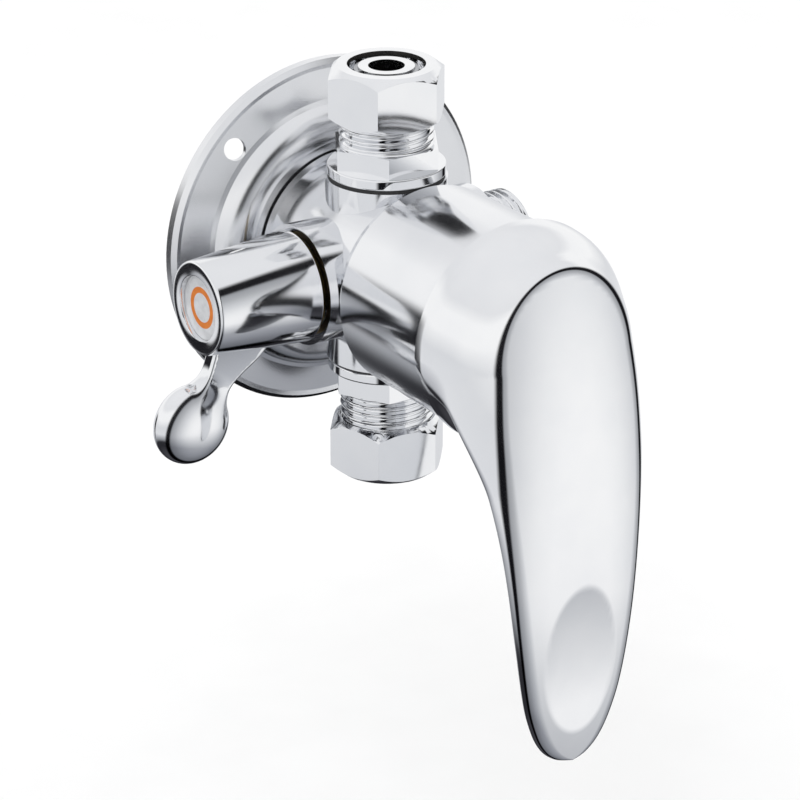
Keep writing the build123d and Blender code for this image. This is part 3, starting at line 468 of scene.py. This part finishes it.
# Lever handle: a domed cap that runs out into a tapered paddle, a crowned face and a thumb hollow.
# The loop is the edge of the face; from it the flank swells out to the widest line of the handle.

# Cap
seam_out, skirt_r = 76.2, 24.3
belly_out, cap_depth = 78.0, 12.0
# Face: crowned along and across, with its highest point on the middle line
face_top_out, face_top_z = 103.25, -52.0
face_long_r, face_cross_r = 248.0, 48.0
# Loop, and how fully the flank swells out from it at the sides and over the brow
tip_z, loop_half, loop_top = -91.95, 17.0, 20.0
flank_fullness, brow_fullness = 4.0, 1.2
# Rounding between cap and paddle, along the back and along the loop
neck_blend, back_round, rim_round = 5.0, 3.0, 2.0
# Boss for the grub screw, under the neck
screw_out, screw_boss_r, screw_boss_end = 90.8, 5.0, -27.8
screw_end_round, screw_blend = 1.0, 3.0
# Thumb hollow
dimple_z, dimple_half_wide, dimple_half_tall = -66.5, 9.2, 17.5
dimple_deep, dimple_edge = 1.7, 0.1
loop_width = smooth_curve([
    (tip_z, 0.0), (-90.8, 3.4), (-87.6, 6.6), (-83.0, 9.0), (-76.0, 11.4), (-61.0, 14.0), (-46.0, 15.8),
    (-25.0, 17.4), (-13.0, 17.8), (0.0, loop_half),
])
half_width = smooth_curve([
    (tip_z, 0.0), (-90.8, 4.4), (-87.6, 7.9), (-83.0, 10.4), (-76.0, 12.8), (-61.0, 15.8), (-46.0, 18.2),
    (-30.0, 20.9), (-20.0, 22.4), (-10.0, 23.6), (0.0, skirt_r),
])
flank_deep = smooth_curve([
    (tip_z, 1.8), (-61.0, 3.0), (-46.0, 4.2), (-25.0, 8.5), (-13.0, 12.5), (0.0, 16.7),
])
thickness = smooth_curve([
    (tip_z, 4.4), (-60.0, 5.0), (-43.0, 5.6), (-27.0, 7.4), (-13.0, 13.5), (0.0, 24.0),
])


def handle_field(x, y, z):
    """Cap, paddle and screw boss blended, cut by the face and its thumb hollow."""
    out = -y
    ahead = np.maximum(out - belly_out, 0.0) / cap_depth
    radius = np.hypot(x, z) + 1e-9
    cap = (np.hypot(radius / skirt_r, ahead) - 1.0) * skirt_r
    along = np.hypot(out - face_top_out + face_long_r, z - face_top_z)
    face = np.hypot(along - face_long_r + face_cross_r, x) - face_cross_r
    fullness = flank_fullness + (brow_fullness - flank_fullness) * (np.maximum(z, 0.0) / radius) ** 2
    swell = 1 - (1 - np.clip(-face / flank_deep(z), -0.15, 1)) ** fullness
    loop_r = loop_half * loop_top * radius / np.hypot(loop_top * x, loop_half * z)
    above = radius - loop_r - (skirt_r - loop_r) * swell
    under = np.abs(x) - loop_width(z) - (half_width(z) - loop_width(z)) * swell
    side = np.where(z > 0, above, under)
    hood = soft_max(side, face_long_r - along - thickness(z), back_round)
    from_screw = np.hypot(x, out - screw_out)
    screw_boss = soft_max(from_screw - screw_boss_r, screw_boss_end - z, screw_end_round)
    screw_boss = np.where(z > 0, screw_boss_r, screw_boss)
    shell = soft_min(soft_min(cap, hood, neck_blend), screw_boss, screw_blend)
    hollow = 1 - (x / dimple_half_wide) ** 2 - ((z - dimple_z) / dimple_half_tall) ** 2
    dish = dimple_deep * soft_max(hollow, 0.0 * hollow, dimple_edge)
    return soft_max(shell, face + dish, rim_round)


def handle_rings(fan_count, level_count, around):
    """Rings in planes that fan out from behind the neck, then level planes down to the tip."""
    across = np.array([1.0, 0.0, 0.0])
    outwards = np.array([0.0, -1.0, 0.0])
    hinge = np.array([0.0, -seam_out, -34.0])
    # The last ring stays a little short of the tip, where the width is nil
    last_z = tip_z + 0.02
    planes = [(hinge, np.array([0.0, -math.sin(a), math.cos(a)]))
              for a in np.linspace(0, np.pi / 2, fan_count)]
    drop = np.sin(np.linspace(0, np.pi / 2, level_count + 1)[1:]) ** 0.8
    planes += [(np.array([0.0, -seam_out, hinge[2] + (last_z - hinge[2]) * t]), outwards) for t in drop]
    reach = np.linspace(0.0, 75.0, 1501)
    rings = []
    for start, along in planes:
        inside = np.where(handle_field(*(start + np.outer(reach, along)).T) < 0)[0]
        low, high = reach[inside[0]], reach[inside[-1]]
        wide = skirt_r if along[2] > 1e-9 else max(float(half_width(np.array(start[2]))), 0.3)
        deep = max((high - low) / 2, 0.05)
        # Where the boss stands out of the back, the rays start nearer to the face
        share = 0.5 - 0.24 * along[1] * along[2]
        middle = start + along * (low + (high - low) * share)
        rings.append(solved_ring(handle_field, middle, across, along, wide, deep, around))
    return np.array(rings)


lever_skin = solved_skin("lever_handle", handle_field, handle_rings(120, 130, 256), False, True)
place_piece("lever_handle", lever_skin, "lever", "chrome", ["handle"])


# Hollow over the dome cover, from the hub's socket out to the lip of the skirt

def lathe(name, profile, centre, start, progress, around=128):
    """A skin turned round an axis through the centre, with its creases kept sharp. All in millimetres."""
    turn = np.linspace(0, 2 * np.pi, around, endpoint=False)
    side = np.cross(start, progress)
    ring_ways = np.outer(np.cos(turn), start) - np.outer(np.sin(turn), side)
    centre, progress = np.array(centre), np.array(progress)
    rings = np.array([centre + progress * reach + ring_ways * radius for reach, radius in profile])
    mesh = grid_mesh(name, rings * MM)
    mesh.set_sharp_from_angle(angle=math.radians(28))
    return mesh


pivot_out, hollow_r, lip_r = 64.0, 26.7, 23.7
hub_r, hub_rear_out = 8.2, 81.0
socket_r, socket_out = 4.5, 94.3
hollow_roof_out = 89.0
hollow_roof_r = math.sqrt(hollow_r ** 2 - (hollow_roof_out - pivot_out) ** 2)
hollow_profile = [(socket_out, 0.0), (socket_out, socket_r), (hub_rear_out, socket_r), (hub_rear_out, hub_r),
                  (hollow_roof_out, hub_r)]
hollow_profile += [
    (pivot_out + math.sqrt(hollow_r ** 2 - r * r), r) for r in np.linspace(hollow_roof_r, lip_r, 20)
]
hollow_profile += [(seam_out, lip_r), (seam_out, skirt_r - 0.02)]
place_piece("handle_hollow", lathe("handle_hollow", hollow_profile, (0, 0, 0), (1, 0, 0), (0, -1, 0)),
            "lever", "chrome")


# Side knob: a turned knob, and a blade that runs out into a round pad

knob_base, knob_end = 24.5, 48.9
knob_base_r, knob_end_r = 12.5, 10.5
knob_edge, recess_r, recess_floor = 0.7, 7.25, 46.6
hollow_end, hollow_wall = 34.0, 1.9
knob_hole_r, bore_r = 3.9, 4.05
knob_inner_r = knob_base_r - hollow_wall
knob_profile = [
    (hollow_end, bore_r), (hollow_end, knob_inner_r), (knob_base, knob_inner_r),
    (knob_base, knob_base_r - 0.25), (knob_base + 0.1, knob_base_r - 0.08), (knob_base + 0.3, knob_base_r),
]
knob_profile += [
    (knob_end - knob_edge + knob_edge * math.sin(a), knob_end_r - knob_edge + knob_edge * math.cos(a))
    for a in np.linspace(0.08, math.pi / 2, 8)
]
knob_profile += [
    (knob_end, recess_r + 0.3), (knob_end - 0.1, recess_r + 0.08), (knob_end - 0.3, recess_r),
    (recess_floor, recess_r), (recess_floor, knob_hole_r),
]
pad_x, pad_z = -51.0, -26.4
pad_r, pad_half = 9.15, 4.8
root_x, root_z = -37.8, -8.0
blade_half, blade_round, pad_blend = 2.0, 0.9, 2.5
blade_way = np.array([pad_x - root_x, 0.0, pad_z - root_z])
blade_long = float(np.linalg.norm(blade_way))
blade_way /= blade_long
blade_side = np.array([-blade_way[2], 0.0, blade_way[0]])
blade_width = smooth_curve([(-2.0, 7.4), (3.0, 6.4), (8.0, 4.5), (13.0, 3.3), (20.0, 3.0), (24.0, 0.0)])


def side_lever_field(x, y, z):
    """A flat blade with rounded edges, blended into a lens-shaped pad."""
    points = np.stack([x - root_x, y + port_out, z - root_z], axis=-1)
    reach, sideways, proud = points @ blade_way, points @ blade_side, np.abs(y + port_out)
    over_side = np.abs(sideways) - blade_width(reach) + blade_round
    over_face = proud - blade_half + blade_round
    blade = np.hypot(np.maximum(over_side, 0), np.maximum(over_face, 0)) - blade_round
    blade = np.maximum(blade + np.minimum(np.maximum(over_side, over_face), 0), reach - blade_long)
    pad = ((reach - blade_long) / pad_r) ** 2 + (sideways / pad_r) ** 2 + (proud / pad_half) ** 2
    pad = (np.sqrt(pad) - 1) * pad_half
    return soft_min(blade, pad, pad_blend)


def side_lever_rings(count, around):
    stations = -1.0 + (blade_long + pad_r + 0.98) * np.sin(np.linspace(0, np.pi / 2, count)) ** 1.1
    middles = np.array([root_x, -port_out, root_z]) + np.outer(stations, blade_way)
    outwards = np.array([0.0, -1.0, 0.0])
    return np.array([
        solved_ring(side_lever_field, middle, blade_side, outwards, 4.0, 2.0, around) for middle in middles
    ])


knob = lathe("side_knob", knob_profile, (0, -port_out, 0), (0, 1, 0), (-1, 0, 0))
place_piece("side_knob", knob, "side_lever", "chrome", ["side_handle"], turned_chrome)
blade = solved_skin("side_lever_blade", side_lever_field, side_lever_rings(110, 96), True, True)
place_piece("side_lever_blade", blade, "side_lever", "chrome", (), turned_chrome)


# Union nuts with plated edges, and their bore painted near black as the shade inside the hole
nut_hole_r, nut_edge = 8.75 * MM, 0.3 * MM
for nut in ("hot_nut", "cold_nut"):
    nut_mesh = bevelled_copy(nut, nut_edge)
    nut_mesh.materials.append(painted_shade_bore)
    # Faces of the bore get the painted shade
    for face in nut_mesh.polygons:
        if off_axis(face.center, "z") < nut_hole_r and abs(face.normal.z) < 0.9:
            face.material_index = 1
    place_piece(nut + "_plated", nut_mesh, "body", "chrome", [nut])


# Studio: pale floor, soft lamps, white surroundings with dark edges for the chrome

floor_z, floor_half = -0.14, 4.0
floor_corners = [(floor_half * x, floor_half * y, floor_z) for x, y in ((-1, -1), (1, -1), (1, 1), (-1, 1))]
floor_mesh = bpy.data.meshes.new("floor")
floor_mesh.from_pydata(floor_corners, [], [(0, 1, 2, 3)])
floor = bpy.data.objects.new("floor", floor_mesh)
scene.collection.objects.link(floor)
floor.visible_glossy = False
paper, tree, shader = new_material("white_paper")
shader.inputs["Roughness"].default_value = 0.9
shader.inputs["Specular IOR Level"].default_value = 0.0
tree.links.new(ramp(tree, object_noise(tree, 40), [(0.3, (0.93, 0.93, 0.93)), (0.7, (0.95, 0.95, 0.95))]),
               shader.inputs["Base Color"])
# The floor is clear from underneath, so that views from below look through it
geometry = add_node(tree, "ShaderNodeNewGeometry")
clear = add_node(tree, "ShaderNodeBsdfTransparent")
two_sided = add_node(tree, "ShaderNodeMixShader")
tree.links.new(geometry.outputs["Backfacing"], two_sided.inputs["Fac"])
tree.links.new(shader.outputs["BSDF"], two_sided.inputs[1])
tree.links.new(clear.outputs["BSDF"], two_sided.inputs[2])
tree.links.new(two_sided.outputs["Shader"], tree.nodes["Material Output"].inputs["Surface"])
floor_mesh.materials.append(paper)

# Surroundings: plain white for the camera, and in the chrome a white panel with a dark ring about it
world = bpy.data.worlds.new("studio")
scene.world = world
world.use_nodes = True
tree = world.node_tree
background = tree.nodes["Background"]
place = add_node(tree, "ShaderNodeTexCoord")
panel_way = add_node(tree, "ShaderNodeVectorMath", operation="DOT_PRODUCT")
panel_way.inputs[1].default_value = (0.51, -0.764, -0.396)
tree.links.new(place.outputs["Generated"], panel_way.inputs[0])
panel_unit = add_node(tree, "ShaderNodeMapRange")
panel_unit.inputs["From Min"].default_value = -1.0
panel_unit.inputs["From Max"].default_value = 1.0
tree.links.new(panel_way.outputs["Value"], panel_unit.inputs["Value"])
panel_mask = ramp(tree, panel_unit.outputs["Result"], [
    (0.58, (1, 1, 1)), (0.63, (0.01, 0.01, 0.012)), (0.715, (0.01, 0.01, 0.012)), (0.745, (0.36, 0.37, 0.39)),
    (0.82, (0.48, 0.49, 0.51)), (0.90, (0.72, 0.73, 0.75)), (0.95, (0.92, 0.925, 0.93)), (0.98, (1, 1, 1)),
])
panel_only = ramp(tree, panel_unit.outputs["Result"], [(0.70, (0, 0, 0)), (0.72, (1, 1, 1))])
level = add_node(tree, "ShaderNodeSeparateXYZ")
tree.links.new(place.outputs["Generated"], level.inputs["Vector"])
level_unit = add_node(tree, "ShaderNodeMapRange")
level_unit.inputs["From Min"].default_value = -1.0
level_unit.inputs["From Max"].default_value = 1.0
tree.links.new(level.outputs["Z"], level_unit.inputs["Value"])
surround = ramp(tree, level_unit.outputs["Result"], [
    (0.0, (0.07, 0.07, 0.08)), (0.12, (0.025, 0.025, 0.03)), (0.185, (0.03, 0.03, 0.035)),
    (0.22, (0.30, 0.31, 0.33)), (0.27, (0.56, 0.57, 0.60)), (0.31, (0.80, 0.81, 0.83)),
    (0.44, (0.76, 0.77, 0.79)), (0.58, (1, 1, 1)), (0.72, (1, 1, 1)),
    (0.80, (0.84, 0.845, 0.86)), (1.0, (0.88, 0.885, 0.90)),
])


def between(tree, value, start, end, low, high):
    """A smooth step from low to high as the value runs from start to end."""
    node = add_node(tree, "ShaderNodeMapRange", interpolation_type="SMOOTHSTEP")
    for name, number in (("From Min", start), ("From Max", end), ("To Min", low), ("To Max", high)):
        node.inputs[name].default_value = number
    tree.links.new(value, node.inputs["Value"])
    return node.outputs["Result"]


def product(tree, first, second):
    node = add_node(tree, "ShaderNodeMath", operation="MULTIPLY")
    tree.links.new(first, node.inputs[0])
    tree.links.new(second, node.inputs[1])
    return node.outputs["Value"]


# A black board at the left, behind the valve, that draws the dark band on the barrel
board_left = between(tree, level.outputs["X"], -0.44, -0.34, 1, 0)
board_behind = between(tree, level.outputs["Y"], 0.66, 0.74, 0, 1)
board_low = between(tree, level.outputs["Z"], 0.0, 0.16, 1, 0)
board = product(tree, board_left, product(tree, board_behind, board_low))
with_board = add_node(tree, "ShaderNodeMix", data_type="RGBA")
tree.links.new(board, with_board.inputs["Factor"])
tree.links.new(surround, with_board.inputs["A"])
with_board.inputs["B"].default_value = (0.015, 0.015, 0.018, 1)
panel_tone = ramp(tree, level_unit.outputs["Result"], [
    (0.12, (0.42, 0.43, 0.46)), (0.20, (0.68, 0.69, 0.71)), (0.28, (0.97, 0.97, 0.975)), (0.34, (1, 1, 1)),
])
round_about = add_node(tree, "ShaderNodeMix", data_type="RGBA")
tree.links.new(panel_only, round_about.inputs["Factor"])
tree.links.new(with_board.outputs["Result"], round_about.inputs["A"])
tree.links.new(panel_tone, round_about.inputs["B"])
seen_in_chrome = add_node(tree, "ShaderNodeMix", data_type="RGBA", blend_type="MULTIPLY")
seen_in_chrome.inputs["Factor"].default_value = 1.0
tree.links.new(round_about.outputs["Result"], seen_in_chrome.inputs["A"])
tree.links.new(panel_mask, seen_in_chrome.inputs["B"])
ray = add_node(tree, "ShaderNodeLightPath")
by_ray = add_node(tree, "ShaderNodeMix", data_type="RGBA")
tree.links.new(ray.outputs["Is Glossy Ray"], by_ray.inputs["Factor"])
by_ray.inputs["A"].default_value = (1, 1, 1, 1)
tree.links.new(seen_in_chrome.outputs["Result"], by_ray.inputs["B"])
tree.links.new(by_ray.outputs["Result"], background.inputs["Color"])


def soft_lamp(name, at, size, power):
    light = bpy.data.lights.new(name, "AREA")
    light.shape = "DISK"
    light.size = size
    light.energy = power
    lamp = bpy.data.objects.new(name, light)
    lamp.location = at
    lamp.rotation_euler = (-Vector(at)).to_track_quat("-Z", "Y").to_euler()
    lamp.visible_glossy = False
    scene.collection.objects.link(lamp)


soft_lamp("key_lamp", (-0.7, -0.5, 1.3), 0.9, 3.0)
soft_lamp("fill_lamp", (0.9, -0.9, 0.8), 0.9, 1.5)

camera = bpy.data.cameras.new("camera")
camera.sensor_width = 36.0
camera.lens = 179.8
camera.clip_end = 50
eye = bpy.data.objects.new("camera", camera)
eye_at = Vector((-0.4548, -0.7135, 0.3217))
look = Vector((0.5101, 0.7637, -0.3957)).normalized()
right = look.cross(Vector((0.2198, 0.3291, 0.9184))).normalized()
up = right.cross(look)
eye.matrix_world = Matrix.Translation(eye_at) @ Matrix((right, up, -look)).transposed().to_4x4()
scene.collection.objects.link(eye)
scene.camera = eye
